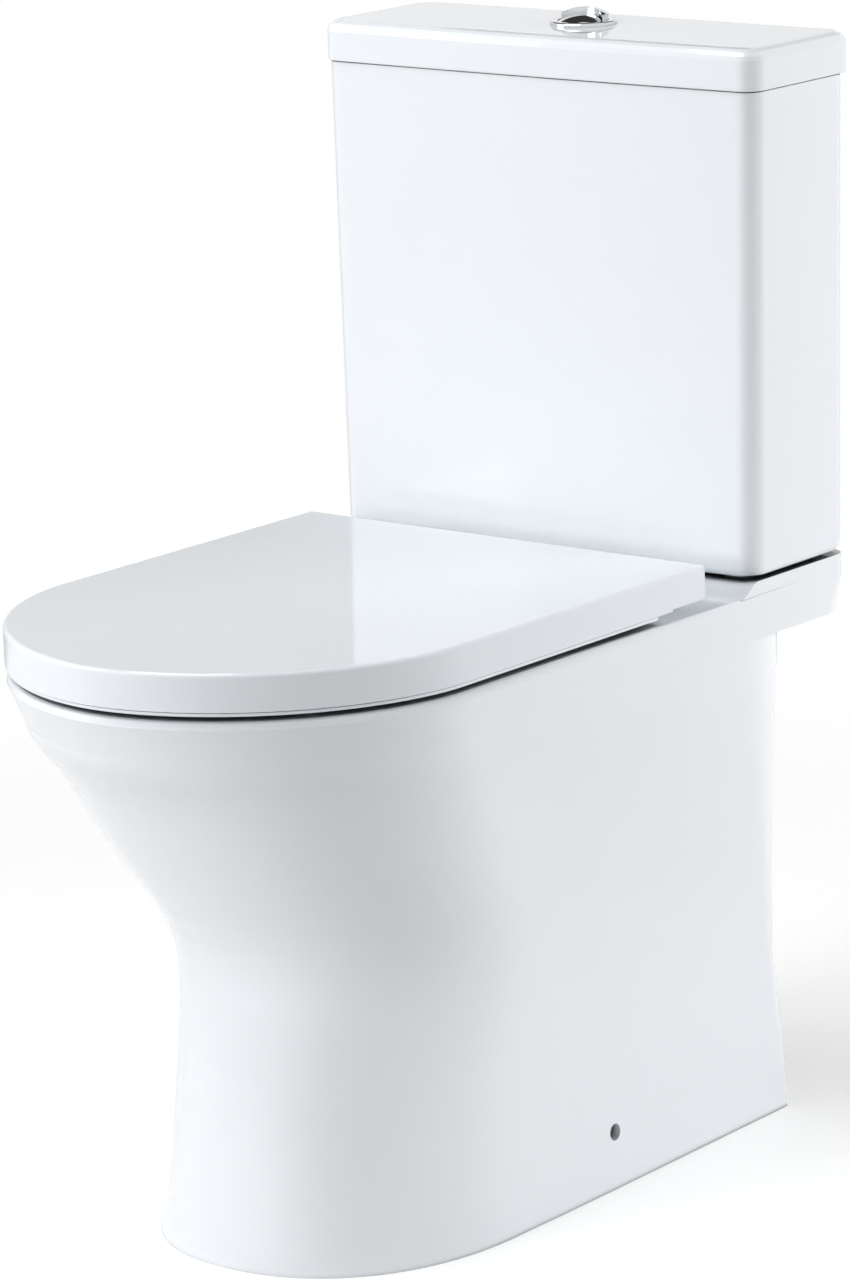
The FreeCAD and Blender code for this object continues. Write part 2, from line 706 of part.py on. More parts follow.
def make_pan():
    """The ceramic pan's skirt from the floor to the deck, open below and behind."""
    plinth = Part.Face(pan_level(PAN_SHARES[0], PAN_WALL, PAN_WALL, -OVERRUN))
    way_out = block(-BACK_OPENING_HALF_WIDTH, BACK_OPENING_HALF_WIDTH, -OVERRUN, PAN_WALL + OVERRUN,
                    -OVERRUN, BACK_OPENING_HEIGHT)
    inside = [pan_body(PAN_WALL, PAN_WALL), plinth.extrude(Vector(0, 0, OVERRUN)), way_out]
    return pan_body(0, -OVERRUN).cut([behind(0)] + inside + side_holes())


def make_rim_and_deck():
    """The ceramic rim and the deck behind the bowl, with their holes."""
    return pan_deck().cut([bowl_room(0)] + deck_holes())


def deck_holes():
    """The holes through the deck and the raised shelf for water, bolts and the seat's studs."""
    low, high = SHELF_UNDERSIDE - OVERRUN, SHELF_HEIGHT + OVERRUN
    holes = [
        rod(DOUGHNUT_RADIUS + DOUGHNUT_POCKET_GAP, POCKET_FLOOR, high, 0, VALVE_REACH),
        rod(FLUSH_RADIUS, low, high, 0, VALVE_REACH),
        rod(INLET_HOLE_RADIUS, low, high, FILL_X, VALVE_REACH),
    ]
    for radius, x, reach in ((COUPLING_HOLE_RADIUS, COUPLING_X, VALVE_REACH),
                             (SEAT_HOLE_RADIUS, HINGE_X, HINGE_REACH)):
        hole = rod(radius, low, high, x, reach)
        holes += [hole, mirrored(hole)]
    return holes


def side_holes():
    """The stepped holes in the skirt for the side fixing screws."""
    holes = []
    for radius, start in ((FIXING_HOLE_RADIUS, FIXING_SEAT_X), (FIXING_SHANK_HOLE, BRACKET_FACE_X - OVERRUN)):
        hole = axle(radius, start, RIM_HALF_WIDTH, FIXING_REACH, FIXING_HEIGHT)
        holes += [hole, mirrored(hole)]
    return holes


def make_cistern_shelf():
    """The raised ceramic shelf under the cistern."""
    return raised_shelf().cut(deck_holes())


def whole_bowl():
    """The ceramic bowl under the deck, with its throat and the water way's mouth."""
    outside = bowl_room(BOWL_WALL).fuse(throat(TRAP_RADIUS + TRAP_WALL, 0))
    water = pipe(flush_points(OVERRUN), FLUSH_BEND, FLUSH_RADIUS)
    return outside.cut([above(SHELF_UNDERSIDE), bowl_room(0), throat(TRAP_RADIUS, OVERRUN), water])


def make_bowl():
    """The bowl's part above the sump."""
    return whole_bowl().common(above(SUMP_TOP))


def make_bowl_sump():
    """The bowl's sump, where the water stands, with the throat down to the trapway."""
    return whole_bowl().cut(above(SUMP_TOP))


def whole_trapway():
    """The ceramic trapway, from the throat through the dip and over the weir to the outlet."""
    outside = pipe(trap_points(0), TRAP_BEND, TRAP_RADIUS + TRAP_WALL)
    return outside.cut(pipe(trap_points(OVERRUN), TRAP_BEND, TRAP_RADIUS))


def make_trapway():
    """The trapway's part from the throat through the dip up to the weir."""
    return whole_trapway().cut(behind(TRAP_WEIR_REACH))


def make_trapway_fall():
    """The trapway's part that falls from the weir to the outlet spigot."""
    return whole_trapway().common(behind(TRAP_WEIR_REACH))


def make_outlet_spigot():
    """The straight end of the waste way, with the collar for the soil pipe's connector."""
    way = Vector(0, -1, 0)
    end = point(0, OUTLET_REACH, OUTLET_HEIGHT)
    collar = Part.makeCylinder(OUTLET_RADIUS, OUTLET_LENGTH, end, way)
    neck = Part.makeCylinder(TRAP_RADIUS + TRAP_WALL, OUTLET_LENGTH + OUTLET_NECK, end, way)
    bore = Part.makeCylinder(TRAP_RADIUS, OUTLET_LENGTH + OUTLET_NECK, end, way)
    return collar.fuse(neck).cut(bore)


def make_flush_channel():
    """The ceramic water way under the deck, from below the cistern to the back of the bowl."""
    outside = pipe(flush_points(0), FLUSH_BEND, FLUSH_RADIUS + FLUSH_WALL)
    return outside.cut([pipe(flush_points(OVERRUN), FLUSH_BEND, FLUSH_RADIUS), above(SHELF_UNDERSIDE),
                        bowl_room(BOWL_WALL + CHANNEL_GAP)])


def cistern_wire(half_width, back, reach, corner, z):
    """A rounded rectangle with a slightly bowed front."""
    left, right = -half_width, half_width
    diagonal = corner * ARC_MIDDLE_SHARE
    straight = half_width - corner
    edges = [
        Part.makeLine(point(right, reach - corner, z), point(right, back + corner, z)),
        Part.Arc(point(right, back + corner, z), point(right - diagonal, back + diagonal, z),
                 point(straight, back, z)).toShape(),
        Part.makeLine(point(straight, back, z), point(-straight, back, z)),
        Part.Arc(point(-straight, back, z), point(left + diagonal, back + diagonal, z),
                 point(left, back + corner, z)).toShape(),
        Part.makeLine(point(left, back + corner, z), point(left, reach - corner, z)),
        Part.Arc(point(left, reach - corner, z), point(left + diagonal, reach - diagonal, z),
                 point(-straight, reach, z)).toShape(),
        Part.Arc(point(-straight, reach, z), point(0, reach + CISTERN_BOW, z),
                 point(straight, reach, z)).toShape(),
        Part.Arc(point(straight, reach, z), point(right - diagonal, reach - diagonal, z),
                 point(right, reach - corner, z)).toShape(),
    ]
    return closed_wire(edges)


def rounded_levels(low, high, low_rounding, high_rounding):
    """Heights and insets of an upright block's outline with rounded lower and upper edges."""
    levels = []
    for step in range(ROUNDING_STEPS + 1):
        turn = math.pi / 2 * step / ROUNDING_STEPS
        levels.append((low + low_rounding * (1 - math.cos(turn)), low_rounding * (1 - math.sin(turn))))
    for step in range(ROUNDING_STEPS + 1):
        turn = math.pi / 2 * step / ROUNDING_STEPS
        levels.append((high - high_rounding * (1 - math.sin(turn)), high_rounding * (1 - math.cos(turn))))
    return levels


def rounded_block(low, high, low_rounding, high_rounding, half_width_at, back, reach, corner):
    """A tapered ceramic block with a bowed front and rounded edges."""
    wires = []
    for z, inset in rounded_levels(low, high, low_rounding, high_rounding):
        wires.append(cistern_wire(half_width_at(z) - inset, back + inset, reach - inset, corner, z))
    return lofted(wires, ruled=True)


def cistern_half_width(z):
    """Half the cistern's width at a height; it grows steadily towards the top."""
    share = (z - CISTERN_FOOT) / (CISTERN_HEIGHT - CISTERN_FOOT)
    return CISTERN_FOOT_HALF_WIDTH + (CISTERN_TOP_HALF_WIDTH - CISTERN_FOOT_HALF_WIDTH) * share


def cistern_space(inset, low, high):
    """The room inside the cistern's walls, all walls moved in by inset."""
    corner = CISTERN_CORNER - CISTERN_WALL
    wires = []
    for z in (low, high):
        wires.append(cistern_wire(cistern_half_width(z) - inset, CISTERN_BACK + inset,
                                  CISTERN_REACH - inset, corner, z))
    return lofted(wires, ruled=True)


def make_cistern():
    """The ceramic cistern, open at the top, with the holes in its floor."""
    outside = rounded_block(CISTERN_FOOT, CISTERN_HEIGHT, CISTERN_FOOT_ROUNDING, SEAM_ROUNDING,
                            cistern_half_width, CISTERN_BACK, CISTERN_REACH, CISTERN_CORNER)
    body = outside.cut(cistern_space(CISTERN_WALL, CISTERN_FLOOR_TOP, CISTERN_HEIGHT + OVERRUN))
    low, high = CISTERN_FOOT - OVERRUN, CISTERN_FLOOR_TOP + OVERRUN
    holes = [
        rod(SHANK_RADIUS + FLOOR_HOLE_GAP, low, high, 0, VALVE_REACH),
        rod(INLET_RADIUS + FLOOR_HOLE_GAP, low, high, FILL_X, VALVE_REACH),
        rod(COUPLING_HOLE_RADIUS, low, high, COUPLING_X, VALVE_REACH),
        rod(COUPLING_HOLE_RADIUS, low, high, -COUPLING_X, VALVE_REACH),
    ]
    return body.cut(holes)


def make_cistern_lid():
    """The cistern's lid, with a lip that locates it and the hole for the button."""
    top_half_width = CISTERN_TOP_HALF_WIDTH + LID_OVERHANG
    outside = rounded_block(CISTERN_HEIGHT, LID_TOP, SEAM_ROUNDING, LID_ROUNDING,
                            lambda z: top_half_width, 0, CISTERN_REACH + LID_OVERHANG, CISTERN_CORNER)
    lip_inset = CISTERN_WALL + LID_LIP_GAP
    lip_foot = CISTERN_HEIGHT - LID_LIP_DEPTH
    lip = cistern_space(lip_inset, lip_foot, CISTERN_HEIGHT + OVERRUN)
    pocket = cistern_space(lip_inset + LID_LIP_WALL, lip_foot - OVERRUN, LID_CEILING)
    hole = rod(LID_HOLE_RADIUS, LID_CEILING - OVERRUN, LID_TOP + OVERRUN, 0, VALVE_REACH)
    return fused(outside, lip).cut([pocket, hole])


def make_support_pads():
    """The rubber pads between shelf and cistern."""
    pads = []
    for x in (-PAD_X, PAD_X):
        for reach in PAD_REACHES:
            pads.append(rod(PAD_RADIUS, SHELF_HEIGHT, CISTERN_FOOT, x, reach))
    return Part.makeCompound(pads)


def make_coupling_seal():
    """The foam ring that seals the cistern's outlet to the pan."""
    inner = DOUGHNUT_RADIUS - DOUGHNUT_WALL
    return tube(DOUGHNUT_RADIUS, inner, POCKET_FLOOR, CISTERN_FOOT, 0, VALVE_REACH)


def make_coupling_bolts():
    """The bolts that hold the cistern down on the pan."""
    head_foot = CISTERN_FLOOR_TOP + CONE_WASHER_HEIGHT
    low = SHELF_UNDERSIDE - PLATE_WASHER_THICKNESS - WING_NUT_HEIGHT - COUPLING_BOLT_TAIL
    head = rod(COUPLING_HEAD_RADIUS, head_foot, head_foot + COUPLING_HEAD_HEIGHT, COUPLING_X, VALVE_REACH)
    shank = rod(COUPLING_BOLT_RADIUS, low, head_foot, COUPLING_X, VALVE_REACH)
    return pair(fused(head, shank))


def make_cone_washers():
    """The rubber washers under the bolts' heads, inside the cistern."""
    bore = COUPLING_BOLT_RADIUS + RUNNING_GAP
    return pair(tube(CONE_WASHER_RADIUS, bore, CISTERN_FLOOR_TOP, CISTERN_FLOOR_TOP + CONE_WASHER_HEIGHT,
                     COUPLING_X, VALVE_REACH))


def make_plate_washers():
    """The steel washers under the shelf."""
    bore = COUPLING_BOLT_RADIUS + RUNNING_GAP
    return pair(tube(PLATE_WASHER_RADIUS, bore, SHELF_UNDERSIDE - PLATE_WASHER_THICKNESS, SHELF_UNDERSIDE,
                     COUPLING_X, VALVE_REACH))


def make_wing_nuts():
    """The wing nuts that draw the bolts tight."""
    high = SHELF_UNDERSIDE - PLATE_WASHER_THICKNESS
    low = high - WING_NUT_HEIGHT
    hub = rod(WING_NUT_RADIUS, low, high, COUPLING_X, VALVE_REACH)
    span = WING_NUT_RADIUS + WING_LENGTH
    wings = block(COUPLING_X - span, COUPLING_X + span, VALVE_REACH - WING_THICKNESS / 2,
                  VALVE_REACH + WING_THICKNESS / 2, low, high - WING_THICKNESS)
    bore = rod(COUPLING_BOLT_RADIUS + RUNNING_GAP, low - OVERRUN, high + OVERRUN, COUPLING_X, VALVE_REACH)
    return pair(fused(hub, wings).cut(bore))


def make_flush_valve_base():
    """The flush valve's outlet: threaded shank, flange and raised seat."""
    low = CISTERN_FOOT - SHANK_DEPTH + OVERRUN
    bore = SHANK_RADIUS - SHANK_WALL
    shank = tube(SHANK_RADIUS, bore, low, FLANGE_TOP, 0, VALVE_REACH)
    flange = tube(FLANGE_RADIUS, bore, FLANGE_FOOT, FLANGE_TOP, 0, VALVE_REACH)
    seat = tube(bore + VALVE_SEAT_WALL, bore, FLANGE_TOP, VALVE_SEAT_TOP, 0, VALVE_REACH)
    return fused(shank, flange, seat)


def make_flush_valve_washer():
    """The rubber washer between the flush valve's flange and the cistern's floor."""
    return tube(FLANGE_RADIUS, SHANK_RADIUS + RUNNING_GAP, CISTERN_FLOOR_TOP, FLANGE_FOOT, 0, VALVE_REACH)


def make_flush_valve_backnut():
    """The big plastic nut that holds the flush valve, under the cistern."""
    return tube(BACKNUT_RADIUS, SHANK_RADIUS + RUNNING_GAP, CISTERN_FOOT - BACKNUT_THICKNESS, CISTERN_FOOT,
                0, VALVE_REACH)


def make_flush_valve_tower():
    """The cage that guides the lift tube, with windows that let the water in."""
    high = FLANGE_TOP + TOWER_LENGTH
    shell = tube(TOWER_RADIUS, TOWER_RADIUS - TOWER_WALL, FLANGE_TOP, high, 0, VALVE_REACH)
    cap = tube(TOWER_RADIUS, LIFT_RADIUS + LIFT_GAP, high, high + TOWER_CAP, 0, VALVE_REACH)
    sill = FLANGE_TOP + TOWER_WINDOW_SILL
    lintel = sill + TOWER_WINDOW_HEIGHT
    half = TOWER_WINDOW_WIDTH / 2
    reach = TOWER_RADIUS + OVERRUN
    along_x = block(-reach, reach, VALVE_REACH - half, VALVE_REACH + half, sill, lintel)
    along_y = block(-half, half, VALVE_REACH - reach, VALVE_REACH + reach, sill, lintel)
    return fused(shell, cap).cut([along_x, along_y])


def rod_holes(low, high):
    """The two holes that guide the push rods through a plate."""
    radius = ROD_RADIUS + ROD_GAP
    holes = []
    for offset in (-ROD_SPREAD, ROD_SPREAD):
        holes.append(rod(radius, low - OVERRUN, high + OVERRUN, 0, VALVE_REACH + offset))
    return holes


def make_actuator_housing():
    """The housing on the tower that the push rods enter, with windows for the overflow."""
    low = FLANGE_TOP + TOWER_LENGTH + TOWER_CAP
    high = low + ACTUATOR_HEIGHT
    shell = tube(ACTUATOR_RADIUS, ACTUATOR_RADIUS - ACTUATOR_WALL, low, high, 0, VALVE_REACH)
    top = rod(ACTUATOR_RADIUS, high - ACTUATOR_LID, high, 0, VALVE_REACH)
    sill = low + ACTUATOR_WINDOW_SILL
    lintel = sill + ACTUATOR_WINDOW_HEIGHT
    reach = ACTUATOR_RADIUS + OVERRUN
    half = ACTUATOR_WINDOW_WIDTH / 2
    window = block(-reach, reach, VALVE_REACH - half, VALVE_REACH + half, sill, lintel)
    return fused(shell, top).cut(rod_holes(high - ACTUATOR_LID, high) + [window])


def make_lift_tube():
    """The overflow tube that lifts the flush valve's seal, with the plate that clamps the seal."""
    high = SEAL_TOP + LIFT_LENGTH
    clamp = rod(SEAL_RADIUS - VALVE_SEAT_WALL, SEAL_TOP, SEAL_TOP + SEAL_CLAMP, 0, VALVE_REACH)
    stem = rod(LIFT_RADIUS, SEAL_TOP, high, 0, VALVE_REACH)
    bore = rod(LIFT_RADIUS - LIFT_WALL, SEAL_TOP - OVERRUN, high + OVERRUN, 0, VALVE_REACH)
    return fused(clamp, stem).cut(bore)


def make_valve_seal():
    """The rubber ring that closes the flush valve."""
    return tube(SEAL_RADIUS, LIFT_RADIUS - LIFT_WALL, VALVE_SEAT_TOP, SEAL_TOP, 0, VALVE_REACH)


def make_half_flush_cup():
    """The float cup on the lift tube that closes the valve early on a half flush."""
    low = SEAL_TOP + CUP_LIFT
    high = low + CUP_HEIGHT
    shell = tube(CUP_RADIUS, CUP_RADIUS - CUP_WALL, low, high, 0, VALVE_REACH)
    bore = LIFT_RADIUS + RUNNING_GAP
    collar = tube(bore + CUP_WALL, bore, low, high, 0, VALVE_REACH)
    floor = tube(CUP_RADIUS, bore, low, low + CUP_WALL, 0, VALVE_REACH)
    return fused(shell, collar, floor)


def make_button_housing():
    """The threaded plastic housing under the button, with the guide for the push rods."""
    low = LID_TOP - HOUSING_LENGTH
    shell = tube(HOUSING_RADIUS, HOUSING_BORE, low, LID_TOP, 0, VALVE_REACH)
    guide_top = low + GUIDE_THICKNESS
    guide = rod(HOUSING_RADIUS, low, guide_top, 0, VALVE_REACH)
    return fused(shell, guide).cut(rod_holes(low, guide_top))


def make_button_bezel():
    """The chrome ring around the button, rounded on top."""
    ring = tube(BEZEL_RADIUS, HOUSING_BORE, LID_TOP, LID_TOP + BEZEL_HEIGHT, 0, VALVE_REACH)
    top_edges = []
    for edge in ring.Edges:
        at_top = edge.BoundBox.ZMin > LID_TOP + BEZEL_HEIGHT - EDGE_TOLERANCE
        if at_top and edge.BoundBox.XLength > HOUSING_RADIUS * 2:
            top_edges.append(edge)
    return ring.makeFillet(BEZEL_HEIGHT * 2 / 3, top_edges)


def make_button_lock_nut():
    """The nut that clamps the button's housing from below the lid."""
    return tube(LOCK_NUT_RADIUS, HOUSING_RADIUS + RUNNING_GAP,
                LID_CEILING - LOCK_NUT_THICKNESS, LID_CEILING, 0, VALVE_REACH)


def button_blank(crown):
    """A round button with a domed top."""
    top = LID_TOP + BEZEL_HEIGHT + crown
    blank = rod(BUTTON_RADIUS, BUTTON_FOOT, top, 0, VALVE_REACH)
    dome = Part.makeSphere(CROWN_RADIUS, point(0, VALVE_REACH, top - CROWN_RADIUS))
    return blank.common(dome)


def split_rod(radius):
    """The round cutter that parts the two buttons."""
    return rod(radius, BUTTON_FOOT - OVERRUN, LID_TOP + CROWN_RADIUS, 0, VALVE_REACH + SPLIT_OFFSET)


def button_with_socket(button, offset):
    """A button with the blind hole that takes its push rod."""
    return button.cut(rod(ROD_RADIUS + RUNNING_GAP, BUTTON_FOOT - OVERRUN, BUTTON_FOOT + ROD_SOCKET,
                          0, VALVE_REACH + offset))


def make_full_flush_button():
    """The front, lower button."""
    button = button_blank(FULL_CROWN).common(split_rod(SPLIT_RADIUS - SPLIT_GAP / 2))
    return button_with_socket(button, ROD_SPREAD)


def make_half_flush_button():
    """The rear, higher button, a crescent around the front one."""
    button = button_blank(HALF_CROWN).cut(split_rod(SPLIT_RADIUS + SPLIT_GAP / 2))
    return button_with_socket(button, -ROD_SPREAD)


def make_push_rod(offset):
    """A rod that hands a button's stroke down to the flush valve."""
    high = BUTTON_FOOT + ROD_SOCKET
    return rod(ROD_RADIUS, high - ROD_LENGTH, high, 0, VALVE_REACH + offset)


def lever_rod(radius, half_length):
    """A round bar along the lever's pin, centred on the valve."""
    return Part.makeCylinder(radius, 2 * half_length,
                             point(FILL_X - LEVER_PIN_OFFSET, VALVE_REACH + half_length, LEVER_HEIGHT),
                             Vector(0, 1, 0))


def make_fill_valve():
    """The fill valve: threaded inlet, flange, tower and slotted head."""
    shank_low = CISTERN_FOOT - INLET_DEPTH
    tail_low = shank_low - INLET_TAIL_LENGTH
    head_top = FILL_TOP + FILL_HEAD_HEIGHT
    tail = rod(INLET_TAIL_RADIUS, tail_low, shank_low, FILL_X, VALVE_REACH)
    shank = rod(INLET_RADIUS, shank_low, FLANGE_FOOT, FILL_X, VALVE_REACH)
    flange = rod(INLET_FLANGE_RADIUS, FLANGE_FOOT, FLANGE_TOP, FILL_X, VALVE_REACH)
    tower = rod(FILL_TOWER_RADIUS, FLANGE_TOP, FILL_TOP, FILL_X, VALVE_REACH)
    head = rod(FILL_HEAD_RADIUS, FILL_TOP, head_top, FILL_X, VALVE_REACH)
    bore = rod(INLET_BORE, tail_low - OVERRUN, FILL_TOP, FILL_X, VALVE_REACH)
    slot_half = LEVER_WIDTH / 2 + LEVER_SLOT_GAP
    slot_left = FILL_X - LEVER_PIN_OFFSET - slot_half
    slot = block(slot_left, FILL_X + FILL_HEAD_RADIUS + OVERRUN,
                 VALVE_REACH - slot_half, VALVE_REACH + slot_half,
                 LEVER_HEIGHT - LEVER_SLOT_DEPTH, head_top + OVERRUN)
    pin_hole = lever_rod(LEVER_PIN_RADIUS + RUNNING_GAP, slot_half + LEVER_PIN_GRIP)
    return fused(tail, shank, flange, tower, head).cut([bore, slot, pin_hole])


def make_fill_lever_pin():
    """The pin that the float's lever turns on."""
    return lever_rod(LEVER_PIN_RADIUS, LEVER_WIDTH / 2 + LEVER_SLOT_GAP + LEVER_PIN_GRIP)


def make_fill_lever():
    """The lever that the float turns to shut the water off."""
    half_width = LEVER_WIDTH / 2
    half_thickness = LEVER_THICKNESS / 2
    pin_x = FILL_X - LEVER_PIN_OFFSET
    arm = block(pin_x, pin_x + LEVER_LENGTH, VALVE_REACH - half_width, VALVE_REACH + half_width,
                LEVER_HEIGHT - half_thickness, LEVER_HEIGHT + half_thickness)
    hub = lever_rod(LEVER_WIDTH / 2, half_width)
    bore = lever_rod(LEVER_PIN_RADIUS + RUNNING_GAP, half_width + OVERRUN)
    return fused(arm, hub).cut(bore)


def make_fill_washer():
    """The rubber washer under the fill valve's flange."""
    return tube(INLET_FLANGE_RADIUS, INLET_RADIUS + RUNNING_GAP,
                CISTERN_FLOOR_TOP, FLANGE_FOOT, FILL_X, VALVE_REACH)


def make_fill_backnut():
    """The nut that holds the fill valve, under the cistern."""
    return tube(INLET_NUT_RADIUS, INLET_RADIUS + RUNNING_GAP,
                CISTERN_FOOT - INLET_NUT_THICKNESS, CISTERN_FOOT, FILL_X, VALVE_REACH)


def make_fill_float():
    """The float that rides on the fill valve's tower, with the link that stands under the lever."""
    high = FILL_TOP - FLOAT_DROP
    low = high - FLOAT_HEIGHT
    cup = tube(FLOAT_RADIUS, FILL_TOWER_RADIUS + FLOAT_GAP, low, high, FILL_X, VALVE_REACH)
    link_x = FILL_X + FLOAT_RADIUS - 2 * LINK_RADIUS
    link_top = LEVER_HEIGHT - LEVER_THICKNESS / 2 - SEAT_GAP
    link = rod(LINK_RADIUS, high - OVERRUN, link_top, link_x, VALVE_REACH)
    return fused(cup, link)


def make_seat_lid():
    """The wrap-over seat lid: plate, skirt and hinge barrels."""
    levels = []
    for step in range(ROUNDING_STEPS + 1):
        turn = math.pi / 2 * step / ROUNDING_STEPS
        inset = SEAT_LID_ROUNDING * (1 - math.cos(turn))
        z = SEAT_TOP - SEAT_LID_ROUNDING * (1 - math.sin(turn))
        levels.append(d_wire(SEAT_HALF_WIDTH - inset, SEAT_REACH - inset, SEAT_NOSE - inset, SEAT_POWER,
                             SEAT_BACK + inset, z))
    shell = d_slab(SEAT_HALF_WIDTH, SEAT_REACH, SEAT_NOSE, SEAT_BACK, SEAT_LID_SKIRT,
                   SEAT_TOP - SEAT_LID_ROUNDING).fuse(lofted(levels, ruled=True))
    wall = SEAT_LID_WALL
    room = d_slab(SEAT_HALF_WIDTH - wall, SEAT_REACH - wall, SEAT_NOSE - wall, SEAT_BACK + wall,
                  SEAT_LID_SKIRT - OVERRUN, SEAT_CEILING)
    side = SEAT_HALF_WIDTH + OVERRUN
    inner_side = SEAT_HALF_WIDTH - wall
    low = SEAT_LID_SKIRT - OVERRUN
    near, far = SEAT_BACK - OVERRUN, SEAT_BACK + wall + OVERRUN
    rear = block(-inner_side, inner_side, near, far, low, SEAT_LID_REAR_SKIRT)
    heel = block(-side, side, near, SEAT_LID_HEEL_REACH, low, SEAT_LID_HEEL)
    notch = block(POST_INNER_X - REAR_NOTCH_GAP, POST_OUTER_X + REAR_NOTCH_GAP, near, far, low, SEAT_CEILING)
    swing = axle(HINGE_RISE - SEAT_LID_SWING_GAP, -side, side, HINGE_REACH, HINGE_HEIGHT)
    heel_corner = block(-side, side, near, HINGE_REACH, low, HINGE_HEIGHT).cut(swing)
    shell = shell.cut([room, rear, heel, heel_corner, notch, mirrored(notch)])
    barrel_left = LID_BARREL_X - BARREL_LENGTH
    barrel = axle(BARREL_RADIUS, barrel_left, LID_BARREL_X, HINGE_REACH, HINGE_HEIGHT)
    web = block(barrel_left, LID_BARREL_X, HINGE_REACH - BARREL_WEB / 2, HINGE_REACH + BARREL_WEB / 2,
                HINGE_HEIGHT, SEAT_CEILING + SEAT_LID_PLATE / 2)
    bore = axle(HINGE_PIN_RADIUS + RUNNING_GAP, barrel_left - OVERRUN, LID_BARREL_X + OVERRUN,
                HINGE_REACH, HINGE_HEIGHT)
    damper_room = axle(DAMPER_RADIUS + RUNNING_GAP, barrel_left - OVERRUN, LID_BARREL_X - HINGE_PIN_GRIP,
                       HINGE_REACH, HINGE_HEIGHT)
    solids = []
    for piece in (barrel, web):
        solids += [piece, mirrored(piece)]
    body = fused(shell, *solids)
    return body.cut([bore, mirrored(bore), damper_room, mirrored(damper_room)])


def make_seat_ring():
    """The seat ring: body inside the lid's skirt, flange below it, arms and hinge barrels."""
    inset = SEAT_LID_WALL + RING_INSET
    body = d_slab(SEAT_HALF_WIDTH - inset, SEAT_REACH - inset, SEAT_NOSE - inset, RING_ARM_BACK,
                  RING_STEP, RING_TOP)
    flange_inset = RING_FLANGE_INSET
    flange = d_slab(SEAT_HALF_WIDTH - flange_inset, SEAT_REACH - flange_inset, SEAT_NOSE - flange_inset,
                    RING_FLANGE_BACK, RING_FOOT, RING_STEP)
    low, high = RING_FOOT - OVERRUN, RING_TOP + OVERRUN
    hole_face = Part.Face(ellipse_wire(BOWL_MIDDLE_REACH, RING_HOLE_HALF_LENGTH, RING_HOLE_HALF_WIDTH, low))
    hole = hole_face.extrude(Vector(0, 0, high - low))
    hinge_room = block(-RING_BARREL_X, RING_BARREL_X, RING_ARM_BACK - OVERRUN, RING_FLANGE_BACK + OVERRUN,
                       low, high)
    barrel_right = RING_BARREL_X + BARREL_LENGTH
    barrel = axle(BARREL_RADIUS, RING_BARREL_X, barrel_right, HINGE_REACH, HINGE_HEIGHT)
    web = block(RING_BARREL_X, barrel_right, HINGE_REACH, RING_ARM_BACK + OVERRUN,
                HINGE_HEIGHT - BARREL_WEB_DROP, RING_TOP)
    bore = axle(HINGE_PIN_RADIUS + RUNNING_GAP, RING_BARREL_X - OVERRUN, barrel_right + OVERRUN,
                HINGE_REACH, HINGE_HEIGHT)
    damper_room = axle(DAMPER_RADIUS + RUNNING_GAP, RING_BARREL_X + HINGE_PIN_GRIP, barrel_right + OVERRUN,
                       HINGE_REACH, HINGE_HEIGHT)
    plate = fused(body, flange).cut([hole, hinge_room])
    solids = []
    for piece in (barrel, web):
        solids += [piece, mirrored(piece)]
    return fused(plate, *solids).cut([bore, mirrored(bore), damper_room, mirrored(damper_room)])


def make_buffers(places, low, high):
    """Four soft buffers, two on each side."""
    pieces = []
    for x, reach in places:
        piece = rod(BUFFER_RADIUS, low, high, x, reach)
        pieces += [piece, mirrored(piece)]
    return Part.makeCompound(pieces)


def make_hinge_posts():
    """The posts that stand on the deck and carry the hinge pins."""
    foot = rod(POST_FOOT_RADIUS, RIM_HEIGHT, RIM_HEIGHT + POST_FOOT_THICKNESS, HINGE_X, HINGE_REACH)
    neck = block(POST_INNER_X, POST_OUTER_X, HINGE_REACH - POST_HALF_DEPTH, HINGE_REACH + POST_HALF_DEPTH,
                 RIM_HEIGHT, HINGE_HEIGHT)
    barrel = axle(POST_BARREL_RADIUS, POST_INNER_X, POST_OUTER_X, HINGE_REACH, HINGE_HEIGHT)
    bore = axle(HINGE_PIN_RADIUS + RUNNING_GAP, POST_INNER_X - OVERRUN, POST_OUTER_X + OVERRUN,
                HINGE_REACH, HINGE_HEIGHT)
    socket = rod(STUD_RADIUS + RUNNING_GAP, RIM_HEIGHT - OVERRUN, STUD_TOP, HINGE_X, HINGE_REACH)
    return pair(fused(foot, neck, barrel).cut([bore, socket]))


def make_hinge_pins():
    """The steel pins through the posts and into the barrels."""
    left = LID_BARREL_X - HINGE_PIN_GRIP
    right = RING_BARREL_X + HINGE_PIN_GRIP
    return pair(axle(HINGE_PIN_RADIUS, left, right, HINGE_REACH, HINGE_HEIGHT))


def make_lid_dampers():
    """The slow-close dampers inside the lid's barrels."""
    left = LID_BARREL_X - BARREL_LENGTH + DAMPER_END_GAP
    right = LID_BARREL_X - HINGE_PIN_GRIP - DAMPER_END_GAP
    return pair(axle(DAMPER_RADIUS, left, right, HINGE_REACH, HINGE_HEIGHT))


def make_ring_dampers():
    """The slow-close dampers inside the ring's barrels."""
    left = RING_BARREL_X + HINGE_PIN_GRIP + DAMPER_END_GAP
    right = RING_BARREL_X + BARREL_LENGTH - DAMPER_END_GAP
    return pair(axle(DAMPER_RADIUS, left, right, HINGE_REACH, HINGE_HEIGHT))


def make_seat_studs():
    """The studs that go through the deck and hold the hinge posts."""
    low = SHELF_UNDERSIDE - STUD_NUT_THICKNESS - STUD_TAIL
    return pair(rod(STUD_RADIUS, low, STUD_TOP, HINGE_X, HINGE_REACH))


